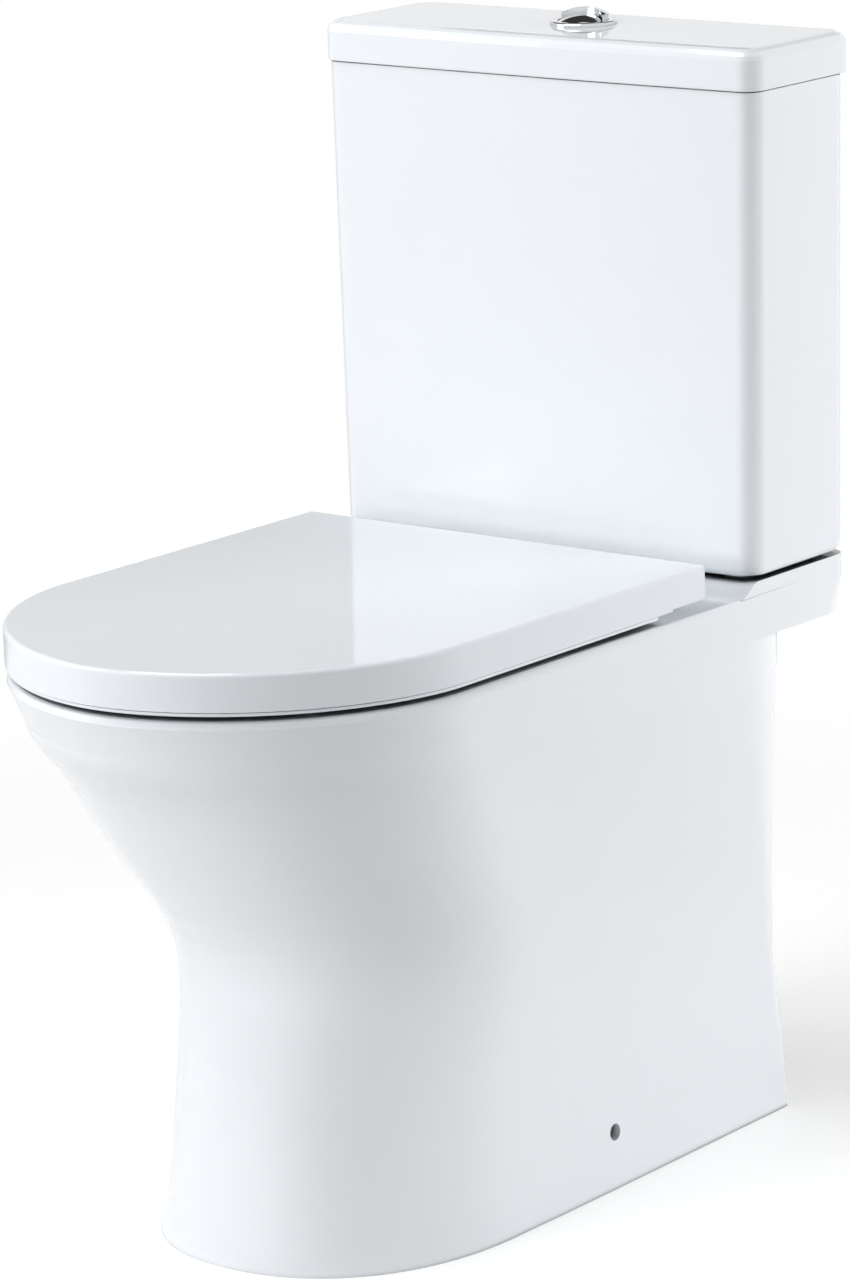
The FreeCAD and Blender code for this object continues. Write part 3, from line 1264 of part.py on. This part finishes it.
def make_seat_sleeves():
    """The rubber sleeves that centre the studs in the deck's holes."""
    high = RIM_HEIGHT - SEAT_GAP
    return pair(tube(SLEEVE_RADIUS, STUD_RADIUS + RUNNING_GAP, high - SLEEVE_LENGTH, high,
                     HINGE_X, HINGE_REACH))


def make_seat_nuts():
    """The nuts that draw the hinge posts down, under the deck."""
    high = SHELF_UNDERSIDE
    return pair(tube(STUD_NUT_RADIUS, STUD_RADIUS + RUNNING_GAP, high - STUD_NUT_THICKNESS, high,
                     HINGE_X, HINGE_REACH))


def make_floor_brackets():
    """The angle brackets inside the skirt that tie the pan to the floor."""
    near, far = FIXING_REACH - BRACKET_HALF_LENGTH, FIXING_REACH + BRACKET_HALF_LENGTH
    inner = BRACKET_FACE_X - BRACKET_PLATE
    wall = block(inner, BRACKET_FACE_X, near, far, 0, BRACKET_HEIGHT)
    foot = block(BRACKET_FACE_X - BRACKET_FOOT, BRACKET_FACE_X, near, far, 0, BRACKET_PLATE)
    hole = axle(FIXING_SHANK_RADIUS + RUNNING_GAP, inner - OVERRUN, BRACKET_FACE_X + OVERRUN,
                FIXING_REACH, FIXING_HEIGHT)
    floor_hole = rod(BRACKET_HOLE_RADIUS, -OVERRUN, BRACKET_PLATE + OVERRUN,
                     inner - BRACKET_HOLE_OFFSET, FIXING_REACH)
    return pair(fused(wall, foot).cut([hole, floor_hole]))


def make_side_screws():
    """The screws through the skirt's side holes into the floor brackets."""
    head = axle(FIXING_HEAD_RADIUS, FIXING_SEAT_X, FIXING_SEAT_X + FIXING_HEAD_HEIGHT,
                FIXING_REACH, FIXING_HEIGHT)
    shank = axle(FIXING_SHANK_RADIUS, FIXING_SEAT_X - FIXING_LENGTH, FIXING_SEAT_X,
                 FIXING_REACH, FIXING_HEIGHT)
    return pair(fused(head, shank))


def main():
    """Makes every sub-part and writes it to its own file."""
    os.makedirs("parts", exist_ok=True)
    save("pan", make_pan())
    save("cistern_shelf", make_cistern_shelf())
    save("rim_and_deck", make_rim_and_deck())
    save("bowl", make_bowl())
    save("bowl_sump", make_bowl_sump())
    save("trapway", make_trapway())
    save("trapway_fall", make_trapway_fall())
    save("outlet_spigot", make_outlet_spigot())
    save("flush_channel", make_flush_channel())
    save("cistern", make_cistern())
    save("cistern_lid", make_cistern_lid())
    save("cistern_support_pads", make_support_pads())
    save("coupling_seal", make_coupling_seal())
    save("coupling_bolts", make_coupling_bolts())
    save("coupling_cone_washers", make_cone_washers())
    save("coupling_plate_washers", make_plate_washers())
    save("coupling_wing_nuts", make_wing_nuts())
    save("flush_valve_base", make_flush_valve_base())
    save("flush_valve_washer", make_flush_valve_washer())
    save("flush_valve_backnut", make_flush_valve_backnut())
    save("flush_valve_tower", make_flush_valve_tower())
    save("flush_actuator_housing", make_actuator_housing())
    save("flush_lift_tube", make_lift_tube())
    save("flush_valve_seal", make_valve_seal())
    save("half_flush_cup", make_half_flush_cup())
    save("button_housing", make_button_housing())
    save("button_bezel", make_button_bezel())
    save("button_lock_nut", make_button_lock_nut())
    save("full_flush_button", make_full_flush_button())
    save("half_flush_button", make_half_flush_button())
    save("full_flush_rod", make_push_rod(ROD_SPREAD))
    save("half_flush_rod", make_push_rod(-ROD_SPREAD))
    save("fill_valve", make_fill_valve())
    save("fill_valve_lever", make_fill_lever())
    save("fill_valve_lever_pin", make_fill_lever_pin())
    save("fill_valve_float", make_fill_float())
    save("fill_valve_washer", make_fill_washer())
    save("fill_valve_backnut", make_fill_backnut())
    save("seat_lid", make_seat_lid())
    save("seat_ring", make_seat_ring())
    save("ring_buffers", make_buffers(RING_BUFFER_PLACES, RIM_HEIGHT + SEAT_GAP, RING_FOOT))
    save("lid_buffers", make_buffers(LID_BUFFER_PLACES, RING_TOP + SEAT_GAP, SEAT_CEILING))
    save("hinge_posts", make_hinge_posts())
    save("hinge_pins", make_hinge_pins())
    save("lid_dampers", make_lid_dampers())
    save("ring_dampers", make_ring_dampers())
    save("seat_studs", make_seat_studs())
    save("seat_stud_sleeves", make_seat_sleeves())
    save("seat_stud_nuts", make_seat_nuts())
    save("floor_brackets", make_floor_brackets())
    save("side_fixing_screws", make_side_screws())


main()
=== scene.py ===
"""Looks of the floor-standing toilet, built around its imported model.

Lengths are metres and angles degrees unless a comment says otherwise. X runs to the right of someone who
faces the toilet, Y towards the wall and Z up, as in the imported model. An azimuth turns from the toilet's
front towards X, and an elevation rises from the horizon.
"""

import json
import math

import bpy
from mathutils import Matrix, Vector

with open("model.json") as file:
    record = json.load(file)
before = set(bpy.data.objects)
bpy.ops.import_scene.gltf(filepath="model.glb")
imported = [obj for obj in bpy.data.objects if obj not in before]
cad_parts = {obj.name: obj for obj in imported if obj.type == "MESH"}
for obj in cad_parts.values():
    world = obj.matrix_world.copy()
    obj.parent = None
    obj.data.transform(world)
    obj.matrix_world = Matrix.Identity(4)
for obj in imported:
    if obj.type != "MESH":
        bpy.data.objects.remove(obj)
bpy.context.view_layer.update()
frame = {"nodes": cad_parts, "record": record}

# Camera, fitted to the photograph. Pixels are those of the photograph, and the sensor is in millimetres.
FRAME_WIDTH = 850
FRAME_HEIGHT = 1280
FOCAL_PIXELS = 5818.0
AXIS_PIXEL = (435.9, 635.9)
CAMERA_PLACE = (2.4020, -3.0295, 1.3169)
CAMERA_AZIMUTH = 37.87
CAMERA_ELEVATION = 13.37
CAMERA_ROLL = -1.609
SENSOR_SIZE = 36.0
QUARTER_TURN = 90
HALF_TURN = 180

# Lamps and cards. All face one point, about halfway up the toilet.
LIGHT_AIM = Vector((0.0, 0.0, 0.45))
SOFTBOX_DISTANCE = 2.6
SOFTBOX_SIZE = 1.4
# Each row is a lamp's name, azimuth, elevation, power in watts and whether reflections show it.
SOFTBOXES = (
    ("right_softbox", 128, 12, 53, False),
    ("front_softbox", -12, 16, 40, False),
    ("left_softbox", -55, 25, 12.5, True),
    ("high_softbox", -40, 70, 33, True),
)
CARD_WIDTH = 3.4
# Each row is a card's name, elevation, distance, height and grey, where 1 is white.
CARDS = (
    ("low_card", 0, 1.5, 0.9, 0.6),
    ("high_card", 45, 2.8, 1.6, 0.05),
)

# Surround and table. The fill is the strength of the light that the surround itself gives.
WHITE = (1.0, 1.0, 1.0)
FILL_AT_HORIZON = 0.26
FILL_OVERHEAD = 0.0
FLOOR_HALF_SIZE = 14.0
FLOOR_ROUGHNESS = 0.9
FLOOR_GLOSS = 0.1
TABLE_ALBEDO = (0.72, 0.72, 0.72)
TABLE_LIFT = 0.42
TABLE_EDGE_START = 0.7
TABLE_EDGE_END = 1.5
FAR_ALBEDO = (0.12, 0.12, 0.12)

# Finish, with the shade painted into crevices. Grain is the finer of the two noises in each material.
SMOOTH_ANGLE = 32.0
NOISE_DETAIL = 2.0
GRAIN_FINENESS = 9
RELIEF_STRENGTH = 0.5
EVEN = (1.0, 1.0, 1.0)
BRUSHED_UPRIGHT = (1.0, 1.0, 0.1)
# Painted shade in crevices: how far it reaches, its samples, its dark colour, and where it is darkest and
# where it stops.
PAINTED_SHADE_DEPTH = 0.006
PAINTED_SHADE_SAMPLES = 6
PAINTED_SHADE_COLOUR = (0.03, 0.032, 0.035)
# Openness to the surroundings, from 0 to 1, at which the painted crevice shade is darkest and at which it
# no longer shows.
PAINTED_SHADE_DARKEST = 0.45
PAINTED_SHADE_CLEAR = 0.75
# The two colours and the two roughnesses that each material runs between, its noise cells per metre and the
# depth of its relief.
FINISHES = {
    # The glaze takes painted shade in its seams and holes.
    "glazed_ceramic": dict(
        name="glaze", colours=((0.83, 0.86, 0.892), (0.845, 0.875, 0.907)), roughness=(0.02, 0.05),
        cells=14, relief=0.00004, ior=1.52, painted_crevice_depth=PAINTED_SHADE_DEPTH),
    "seat_plastic": dict(
        name="seat_plastic", colours=((0.80, 0.835, 0.872), (0.815, 0.85, 0.887)), roughness=(0.015, 0.035),
        cells=20, relief=0.00002, ior=1.55),
    "chrome": dict(
        name="chrome", colours=((0.62, 0.63, 0.65), (0.68, 0.69, 0.70)), roughness=(0.03, 0.07),
        cells=60, relief=0.00001, metallic=1.0),
    "white_plastic": dict(
        name="white_plastic", colours=((0.72, 0.73, 0.74), (0.78, 0.785, 0.79)), roughness=(0.35, 0.5),
        cells=60, relief=0.00008),
    "blue_plastic": dict(
        name="blue_plastic", colours=((0.10, 0.19, 0.42), (0.13, 0.23, 0.48)), roughness=(0.3, 0.45),
        cells=60, relief=0.00008),
    "grey_plastic": dict(
        name="grey_plastic", colours=((0.15, 0.155, 0.165), (0.20, 0.205, 0.215)), roughness=(0.4, 0.55),
        cells=60, relief=0.0001),
    "black_rubber": dict(
        name="black_rubber", colours=((0.02, 0.02, 0.022), (0.035, 0.035, 0.037)), roughness=(0.6, 0.8),
        cells=90, relief=0.0002),
    "clear_rubber": dict(
        name="clear_rubber", colours=((0.6, 0.61, 0.62), (0.68, 0.69, 0.70)), roughness=(0.35, 0.5),
        cells=90, relief=0.0001),
    "steel": dict(
        name="steel", colours=((0.42, 0.43, 0.45), (0.52, 0.53, 0.55)), roughness=(0.2, 0.38),
        cells=120, relief=0.00003, metallic=1.0, stretch=BRUSHED_UPRIGHT),
    "brass": dict(
        name="brass", colours=((0.55, 0.38, 0.13), (0.65, 0.46, 0.18)), roughness=(0.22, 0.4),
        cells=80, relief=0.00004, metallic=1.0),
}

# Sockets of the mixing node for numbers and for colours: its two ends and its result
MIX_FACTOR = 0
MIX_SOCKETS = {"FLOAT": (2, 3, 0), "RGBA": (6, 7, 2)}


def solid(colour):
    """A colour with full opacity."""
    return (*colour, 1.0)


def plug(tree, value, socket):
    """Feeds an input with another node's output or with a plain value."""
    if isinstance(value, bpy.types.NodeSocket):
        tree.links.new(value, socket)
    else:
        socket.default_value = value


def add_material(name):
    """A new node material, its node tree and its main shader."""
    material = bpy.data.materials.new(name)
    material.use_nodes = True
    return material, material.node_tree, material.node_tree.nodes["Principled BSDF"]


def add_node(tree, kind, **inputs):
    """A shader node with some of its inputs fed. An underscore stands for a space in an input's name."""
    node = tree.nodes.new(kind)
    for name, value in inputs.items():
        plug(tree, value, node.inputs[name.replace("_", " ")])
    return node


def combined(tree, kind, operation, *values):
    """A node that works out a sum on numbers or vectors."""
    node = tree.nodes.new(kind)
    node.operation = operation
    for value, socket in zip(values, node.inputs):
        plug(tree, value, socket)
    return node


def number(tree, operation, first, second):
    """The result of a sum on two numbers."""
    return combined(tree, "ShaderNodeMath", operation, first, second).outputs["Value"]


def between(tree, kind, factor, low, high):
    """A number or a colour that runs from low to high as the factor runs from 0 to 1."""
    mix = tree.nodes.new("ShaderNodeMix")
    mix.data_type = kind
    first, second, result = MIX_SOCKETS[kind]
    plug(tree, factor, mix.inputs[MIX_FACTOR])
    plug(tree, low, mix.inputs[first])
    plug(tree, high, mix.inputs[second])
    return mix.outputs[result]


def noise(tree, stretch, cells):
    """A noise value between 0 and 1 over the object's own coordinates."""
    coordinates = tree.nodes.new("ShaderNodeTexCoord").outputs["Object"]
    mapping = add_node(tree, "ShaderNodeMapping", Vector=coordinates, Scale=stretch)
    texture = add_node(tree, "ShaderNodeTexNoise", Vector=mapping.outputs["Vector"], Scale=cells,
                       Detail=NOISE_DETAIL)
    return texture.outputs["Fac"]


def paint_crevice_shade(tree, colour, depth):
    """Paints shade into a colour in seams and holes narrower than the depth, where less of the surroundings
    is open.
    """
    open_part = add_node(tree, "ShaderNodeAmbientOcclusion", Distance=depth)
    open_part.samples = PAINTED_SHADE_SAMPLES
    clear = add_node(tree, "ShaderNodeMapRange", Value=open_part.outputs["AO"], From_Min=PAINTED_SHADE_DARKEST,
                     From_Max=PAINTED_SHADE_CLEAR)
    return between(tree, "RGBA", clear.outputs["Result"], solid(PAINTED_SHADE_COLOUR), colour)


def surface(name, colours, roughness, cells, relief, metallic=0.0, stretch=EVEN, ior=1.5, painted_crevice_depth=0.0):
    """A material whose colour, roughness and relief vary a little, as moulded or plated pieces do, and
    whose colour takes painted shade in its crevices when a depth is given.
    """
    material, tree, shader = add_material(name)
    cloud = noise(tree, stretch, cells)
    grain = noise(tree, stretch, cells * GRAIN_FINENESS)
    low, high = colours
    colour = between(tree, "RGBA", cloud, solid(low), solid(high))
    # Painted shade: the colour goes dark in seams and holes, where the surroundings are less open.
    if painted_crevice_depth:
        colour = paint_crevice_shade(tree, colour, painted_crevice_depth)
    bump = add_node(tree, "ShaderNodeBump", Height=grain, Distance=relief, Strength=RELIEF_STRENGTH)
    plug(tree, colour, shader.inputs["Base Color"])
    plug(tree, between(tree, "FLOAT", grain, *roughness), shader.inputs["Roughness"])
    plug(tree, metallic, shader.inputs["Metallic"])
    plug(tree, ior, shader.inputs["IOR"])
    plug(tree, bump.outputs["Normal"], shader.inputs["Normal"])
    return material


def dress_frame():
    """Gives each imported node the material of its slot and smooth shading."""
    materials = {slot: surface(**finish) for slot, finish in FINISHES.items()}
    slots = {part["node"]: part["material_slot"] for part in frame["record"]["subparts"]}
    for name, piece in frame["nodes"].items():
        piece.data.materials.clear()
        piece.data.materials.append(materials[slots[name]])
        piece.data.shade_smooth()
        piece.data.set_sharp_from_angle(angle=math.radians(SMOOTH_ANGLE))
        crisp = piece.modifiers.new("crisp", "WEIGHTED_NORMAL")
        crisp.keep_sharp = True


def link(name, data):
    """Puts a new object in the scene."""
    piece = bpy.data.objects.new(name, data)
    bpy.context.scene.collection.objects.link(piece)
    return piece


def direction(azimuth, elevation):
    """The unit vector from the object towards an azimuth and elevation."""
    azimuth, elevation = math.radians(azimuth), math.radians(elevation)
    level = math.cos(elevation)
    return Vector((math.sin(azimuth) * level, -math.cos(azimuth) * level, math.sin(elevation)))


def add_camera():
    """The photograph's camera."""
    back = direction(CAMERA_AZIMUTH, CAMERA_ELEVATION)
    right = direction(CAMERA_AZIMUTH + QUARTER_TURN, 0)
    up = back.cross(right)
    roll = math.radians(CAMERA_ROLL)
    rolled_right = right * math.cos(roll) + up * math.sin(roll)
    rolled_up = up * math.cos(roll) - right * math.sin(roll)
    data = bpy.data.cameras.new("camera")
    data.sensor_width = SENSOR_SIZE
    data.lens = FOCAL_PIXELS * SENSOR_SIZE / FRAME_HEIGHT
    data.shift_x = (FRAME_WIDTH / 2 - AXIS_PIXEL[0]) / FRAME_HEIGHT
    data.shift_y = (AXIS_PIXEL[1] - FRAME_HEIGHT / 2) / FRAME_HEIGHT
    camera = link("camera", data)
    turn = Matrix((rolled_right, rolled_up, back)).transposed().to_4x4()
    camera.matrix_world = Matrix.Translation(CAMERA_PLACE) @ turn
    bpy.context.scene.camera = camera


def face_toilet(piece, azimuth, elevation, distance):
    """Moves a lamp or a card out from the toilet and turns it to face it."""
    back = direction(azimuth, elevation)
    piece.location = LIGHT_AIM + back * distance
    piece.rotation_mode = "QUATERNION"
    piece.rotation_quaternion = back.to_track_quat("Z", "Y")


def add_softbox(name, azimuth, elevation, power, mirrored):
    """A soft square lamp that faces the toilet."""
    data = bpy.data.lights.new(name, "AREA")
    data.shape = "SQUARE"
    data.size = SOFTBOX_SIZE
    data.energy = power
    lamp = link(name, data)
    lamp.visible_glossy = mirrored
    face_toilet(lamp, azimuth, elevation, SOFTBOX_DISTANCE)


def seen_directly(tree):
    """1 for rays from the eye, or that mirror or pass through a surface, and 0 for soft light."""
    path = tree.nodes.new("ShaderNodeLightPath")
    seen = path.outputs["Is Camera Ray"]
    for ray in ("Is Glossy Ray", "Is Transmission Ray"):
        seen = number(tree, "MAXIMUM", seen, path.outputs[ray])
    return seen


def add_world():
    """A white surround for the eye and for reflections, and a fill light that fades towards overhead."""
    world = bpy.data.worlds.new("surround")
    bpy.context.scene.world = world
    world.use_nodes = True
    tree = world.node_tree
    view = tree.nodes.new("ShaderNodeTexCoord").outputs["Generated"]
    height = add_node(tree, "ShaderNodeSeparateXYZ", Vector=view).outputs["Z"]
    fill = add_node(tree, "ShaderNodeMapRange", Value=height, To_Min=FILL_AT_HORIZON, To_Max=FILL_OVERHEAD)
    strength = number(tree, "MAXIMUM", fill.outputs["Result"], seen_directly(tree))
    background = tree.nodes["Background"]
    plug(tree, solid(WHITE), background.inputs["Color"])
    plug(tree, strength, background.inputs["Strength"])


def add_sheet(name, width, height, look):
    """A flat rectangle about its own middle, put in the scene with the look as its surface."""
    side, rise = width / 2, height / 2
    mesh = bpy.data.meshes.new(name)
    corners = [(-side, -rise, 0), (side, -rise, 0), (side, rise, 0), (-side, rise, 0)]
    mesh.from_pydata(corners, [], [(0, 1, 2, 3)])
    material, tree, shader = add_material(name)
    plug(tree, look(tree, shader), tree.nodes["Material Output"].inputs["Surface"])
    mesh.materials.append(material)
    sheet = link(name, mesh)
    return sheet


def table_look(tree, shader):
    """A pale table that fades into the white surround further out, and gives less light back out there."""
    coordinates = tree.nodes.new("ShaderNodeTexCoord").outputs["Object"]
    distance = combined(tree, "ShaderNodeVectorMath", "LENGTH", coordinates).outputs["Value"]
    edge = add_node(tree, "ShaderNodeMapRange", Value=distance, From_Min=TABLE_EDGE_START,
                    From_Max=TABLE_EDGE_END)
    edge.interpolation_type = "SMOOTHSTEP"
    far = edge.outputs["Result"]
    seen = seen_directly(tree)
    dim = number(tree, "MULTIPLY", number(tree, "SUBTRACT", 1.0, seen), far)
    colour = between(tree, "RGBA", dim, solid(TABLE_ALBEDO), solid(FAR_ALBEDO))
    plug(tree, colour, shader.inputs["Base Color"])
    plug(tree, FLOOR_ROUGHNESS, shader.inputs["Roughness"])
    plug(tree, FLOOR_GLOSS, shader.inputs["Specular IOR Level"])
    lift = add_node(tree, "ShaderNodeEmission", Strength=number(tree, "MULTIPLY", seen, TABLE_LIFT))
    near = tree.nodes.new("ShaderNodeAddShader")
    plug(tree, shader.outputs["BSDF"], near.inputs[0])
    plug(tree, lift.outputs["Emission"], near.inputs[1])
    white = tree.nodes.new("ShaderNodeEmission")
    ground = add_node(tree, "ShaderNodeMixShader", Fac=number(tree, "MULTIPLY", seen, far))
    plug(tree, near.outputs["Shader"], ground.inputs[1])
    plug(tree, white.outputs["Emission"], ground.inputs[2])
    return ground.outputs["Shader"]


def add_card(name, elevation, distance, height, grey):
    """A card behind the toilet, as the camera sees it. Only reflections show it."""
    def glow(tree, _):
        return add_node(tree, "ShaderNodeEmission", Strength=grey).outputs["Emission"]

    card = add_sheet(name, CARD_WIDTH, height, glow)
    card.visible_camera = False
    card.visible_diffuse = False
    card.visible_shadow = False
    face_toilet(card, CAMERA_AZIMUTH + HALF_TURN, elevation, distance)


def add_studio():
    """The lamps, the surround, the floor and the cards."""
    for softbox in SOFTBOXES:
        add_softbox(*softbox)
    add_world()
    add_sheet("floor", 2 * FLOOR_HALF_SIZE, 2 * FLOOR_HALF_SIZE, table_look)
    for card in CARDS:
        add_card(*card)


dress_frame()
add_camera()
add_studio()
bpy.context.scene.view_settings.view_transform = "Standard"
